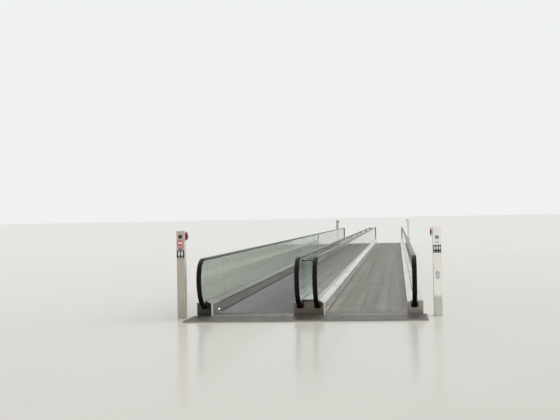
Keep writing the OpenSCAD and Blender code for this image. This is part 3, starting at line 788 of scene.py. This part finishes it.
def comb_lights():
    """Domed lens in a dark ring, on the skirt side beside each comb"""
    lens_r, lens_t, dome_t = 0.022, 0.003, 0.0028
    ring_r, ring_t, ring_edge_t, ring_bevel, fit = 0.034, 0.004, 0.003, 0.0015, 0.0005
    sides, sunk = 40, 0.001
    ring = [(ring_r, 0.0), (ring_r, ring_edge_t), (ring_r - ring_bevel, ring_t),
            (lens_r + fit, ring_t), (lens_r + fit, 0.0)]
    dome = [(lens_r * math.cos(t), lens_t + dome_t * math.sin(t))
            for t in map(math.radians, (20, 40, 60, 80))]
    lens = [(lens_r, 0.0), (lens_r, lens_t)] + dome
    for end in ENDS:
        low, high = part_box(end + "_comb_lights")
        y, z = (low.y + high.y) / 2, (low.z + high.z) / 2
        solid = Solid()
        for lane in (-lane_x, lane_x):
            for side in (-1, 1):
                wall = lane + side * (comb_w + sunk)
                for profile, finish in ((ring, 1), (lens, 0)):
                    solid.turned([(r, wall - side * inward) for r, inward in profile],
                                 (0.0, y, z), "x", sides, finish)
        solid.make(end + "_comb_light_lenses", ["lens", "dark_ring"], "comb_light", smooth=35,
                   replaces=[end + "_comb_lights"])


POST_W, DISC_PROUD, COLLAR_T, SIGNAL_R = 0.140, 0.004, 0.006, 0.0345
# How far panels, the marks on them and flat inlays stand out from the front of a post
PANEL_T, MARK_T, INLAY_T = 0.0008, 0.0014, 0.0006


class PostFace:
    """The front of a post, in metres right of its middle and below its top"""

    def __init__(self, end, side):
        self.way, sign = ENDS[end], SIDES[side]
        low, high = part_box(f"{end}_{side}_post")
        self.middle = sign * (max(abs(low.x), abs(high.x)) - POST_W / 2)
        self.front = max(abs(low.y), abs(high.y)) - DISC_PROUD
        self.top = high.z
        self.solid = Solid()

    def plate(self, outline, down, finish, start=0.0, end=PANEL_T):
        """A flat piece on the front, from an outline of (right, up) points round its middle"""
        placed = [(self.middle - self.way * u, self.top - down + v) for u, v in outline]
        self.solid.prism(placed, "y", self.way * (self.front + start),
                         self.way * (self.front + end), finish)

    def disc(self, radius, down, finish, right=0.0, start=0.0, end=PANEL_T):
        """A flat round piece on the front"""
        self.plate(arc((right, 0.0), radius, 0, 350, 35), down, finish, start, end)

    def lens(self, radius, down, finish):
        """A domed lens over the raised disc of the post"""
        foot, rim, rise, sides = 0.002, DISC_PROUD + 0.0004, 0.004, 40
        dome = [(radius * math.cos(t), rim + rise * math.sin(t))
                for t in map(math.radians, (0, 15, 35, 55, 75))]
        profile = [(radius, foot)] + dome
        self.solid.turned([(r, self.way * (self.front + out)) for r, out in profile],
                          (self.middle, 0.0, self.top - down), "y", sides, finish)

    def oval_ring(self, width, height, wall, down, finish):
        """A flat ring, round or upright"""
        thick = 0.0015
        outer = rounded(width, height, width / 2, steps=8)
        inner = rounded(width - 2 * wall, height - 2 * wall, width / 2 - wall, steps=8)
        rings = []
        for outline, out in ((outer, 0.0), (outer, thick), (inner, thick), (inner, 0.0)):
            rings.append([(self.middle - self.way * u, self.way * (self.front + out),
                           self.top - down + v) for u, v in outline])
        self.solid.loft(rings, finish, closed=True)


# Places of the finishes of the signs, in the order in which post_signs gives them
STEEL, RED, WHITE, BLACK, LENS, PINK, GREY = range(7)


def person(face, right, down, size):
    """A plain standing figure, 77 mm tall at size 1: a head, a body and legs"""
    head_r, corner, leg_t = 0.0105, 0.005, 0.0011
    face.disc(head_r * size, down, WHITE, right, PANEL_T, MARK_T)
    for width, height, drop, front in ((0.032, 0.032, 0.028, MARK_T), (0.022, 0.028, 0.052, leg_t)):
        outline = rounded(width * size, height * size, corner * size, (right, -drop * size), 3)
        face.plate(outline, down, WHITE, PANEL_T, front)


def pictogram(face, high, figures, size):
    """Black panel with plain standing figures over a row of arrow heads"""
    panel_down, head_down, arrow_down = high + 0.064, high + 0.019, high + 0.112
    arrow_half, arrow_foot, arrow_tip = 0.014, -0.010, 0.008
    face.plate(rounded(0.134, 0.132, 0.004), panel_down, BLACK)
    for right in figures:
        person(face, right, head_down, size)
        arrow = [(right - arrow_half, arrow_foot), (right, arrow_tip),
                 (right + arrow_half, arrow_foot)]
        face.plate(arrow, arrow_down, WHITE, PANEL_T, MARK_T)


def left_marks(face):
    """Lens, red disc with a white bar, pale and dark strips, pictogram and a round lock"""
    lens, disc, pale_strip, dark_strip, picture, lock = 0.099, 0.203, 0.282, 0.312, 0.333, 0.752
    face.lens(SIGNAL_R, lens, LENS)
    face.disc(0.056, disc, RED)
    face.plate(rounded(0.070, 0.030, 0.003), disc, WHITE, PANEL_T, MARK_T)
    face.plate(rounded(0.104, 0.036, 0.003), pale_strip, PINK)
    face.plate(rounded(0.056, 0.018, 0.008), dark_strip, BLACK, PANEL_T, MARK_T)
    pictogram(face, picture, (-0.026, 0.026), 1.15)
    face.oval_ring(0.034, 0.034, 0.006, lock, STEEL)
    face.plate(rounded(0.004, 0.014, 0.0015), lock, BLACK, 0.0, INLAY_T)


def right_marks(face):
    """Lens, pale strip, pictogram and an upright lock plate"""
    lens, pale_strip, picture, lock, keyhole_t = 0.178, 0.263, 0.309, 0.812, 0.0009
    face.lens(SIGNAL_R, lens, LENS)
    face.plate(rounded(0.066, 0.024, 0.003), pale_strip, PINK)
    pictogram(face, picture, (-0.042, 0.0, 0.042), 0.95)
    face.oval_ring(0.058, 0.124, 0.012, lock, GREY)
    face.plate(rounded(0.030, 0.096, 0.014), lock, WHITE, 0.0, INLAY_T)
    face.plate(rounded(0.003, 0.011, 0.001), lock, BLACK, INLAY_T, keyhole_t)


def post_signs():
    """Signal lens, plain signs, pictogram and lock on the front of each post"""
    sets = {"left": (left_marks, "dark_lens", "sign_pink"),
            "right": (right_marks, "grey_lens", "sign_pale")}
    for end in ENDS:
        for side, (marks, lens, strip) in sets.items():
            face = PostFace(end, side)
            marks(face)
            finishes = ["guide", "sign_red", "sign_white", "sign_black", lens, strip, "grey_lens"]
            face.solid.make(f"{end}_{side}_post_signs", finishes, "post", smooth=30)


def button_rims():
    """Pale rim round each stop button, over the collar of the post"""
    long, wide, rim, skin, lip = 0.140, 0.060, 0.005, 0.0006, 0.012
    section = [(rim + skin, 0.0), (rim + skin, COLLAR_T), (rim, COLLAR_T + skin),
               (-lip, COLLAR_T + skin), (-lip, COLLAR_T), (rim, 0.0)]
    for end in ENDS:
        for side, sign in SIDES.items():
            face = PostFace(end, side)
            low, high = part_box(f"{end}_{side}_button")
            y, z = (low.y + high.y) / 2, (low.z + high.z) / 2
            wall = face.middle - sign * POST_W / 2
            solid = Solid()
            rings = []
            for grow, out in section:
                outline = rounded(wide + 2 * grow, long + 2 * grow, wide / 2 + grow, steps=10)
                rings.append([(wall - sign * out, y + u, z + v) for u, v in outline])
            solid.loft(rings, 0, closed=True)
            solid.make(f"{end}_{side}_button_rim", ["pink"], "post", smooth=35)


def fittings():
    """Handrail caps, closure panels with their clamps, posts and stop buttons"""
    for end in ENDS:
        dress(end + "_inlets", "inlet", 0.003)
        dress(end + "_closure_panel", "glass")
        for side in SIDES:
            dress(f"{end}_{side}_post", side + "_post")
            dress(f"{end}_{side}_button", "red")
    dress("closure_clamps", "clamp", 0.002)


def photo_camera():
    """Camera in the place from which the photograph was taken"""
    scene = bpy.context.scene
    scene.view_settings.view_transform = "Standard"
    data = bpy.data.cameras.new("camera")
    data.lens, data.sensor_width, data.shift_x = CAMERA_LENS, CAMERA_SENSOR, CAMERA_SHIFT
    data.clip_end = CAMERA_REACH
    camera = bpy.data.objects.new("camera", data)
    camera.location, camera.rotation_euler = CAMERA_AT, CAMERA_TURN
    scene.collection.objects.link(camera)
    scene.camera = camera


def studio_world():
    """Even daylight, brighter where it is seen, reflected or shines through than as a light"""
    world = bpy.data.worlds.new("studio")
    world.use_nodes = True
    bpy.context.scene.world = world
    tree = world.node_tree
    light = tree.nodes["Background"]
    light.inputs["Color"].default_value = colour(238, 243, 246)
    light.inputs["Strength"].default_value = 0.62
    shown = tree.nodes.new("ShaderNodeBackground")
    shown.inputs["Color"].default_value = colour(240, 242, 242)
    shown.inputs["Strength"].default_value = 1.0
    path = tree.nodes.new("ShaderNodeLightPath")
    seen = path.outputs["Is Camera Ray"]
    for ray in ("Is Glossy Ray", "Is Transmission Ray"):
        either = tree.nodes.new("ShaderNodeMath")
        either.operation = "MAXIMUM"
        tree.links.new(seen, either.inputs[0])
        tree.links.new(path.outputs[ray], either.inputs[1])
        seen = either.outputs[0]
    mix = tree.nodes.new("ShaderNodeMixShader")
    tree.links.new(seen, mix.inputs["Fac"])
    tree.links.new(light.outputs[0], mix.inputs[1])
    tree.links.new(shown.outputs[0], mix.inputs[2])
    tree.links.new(mix.outputs[0], tree.nodes["World Output"].inputs["Surface"])


def sun(name, turn, strength, tint, spread):
    """A distant lamp, with its turn and its spread in degrees"""
    data = bpy.data.lights.new(name, "SUN")
    data.energy, data.color, data.angle = strength, tint[:3], math.radians(spread)
    lamp = bpy.data.objects.new(name, data)
    lamp.rotation_euler = Euler([math.radians(a) for a in turn])
    bpy.context.scene.collection.objects.link(lamp)


def studio_floor():
    """Pale polished floor"""
    reach = 1500.0
    corners = [(-reach, -reach, 0), (reach, -reach, 0), (reach, reach, 0), (-reach, reach, 0)]
    made = Finish("pale_floor", colour(221, 218, 211), Roughness=0.18, Specular_IOR_Level=0.08)
    made.shade(made.noise((0.35, 0.35, 0.35)), 0.02)
    mesh = bpy.data.meshes.new("floor")
    mesh.from_pydata(corners, [], [(0, 1, 2, 3)])
    mesh.materials.append(made.made)
    floor = bpy.data.objects.new("floor", mesh)
    bpy.context.scene.collection.objects.link(floor)


photo_camera()
studio_world()
sun("window_light", (0, 52, 12), 1.1, colour(255, 252, 246), 40)
sun("ceiling_light", (8, -6, 0), 0.5, colour(255, 250, 242), 60)
studio_floor()
handrails()
guides()
panes()
pallets()
combs()
landing_ribs()
floor_screws()
bases()
gaskets()
closure_seals()
comb_lights()
post_signs()
button_rims()
fittings()
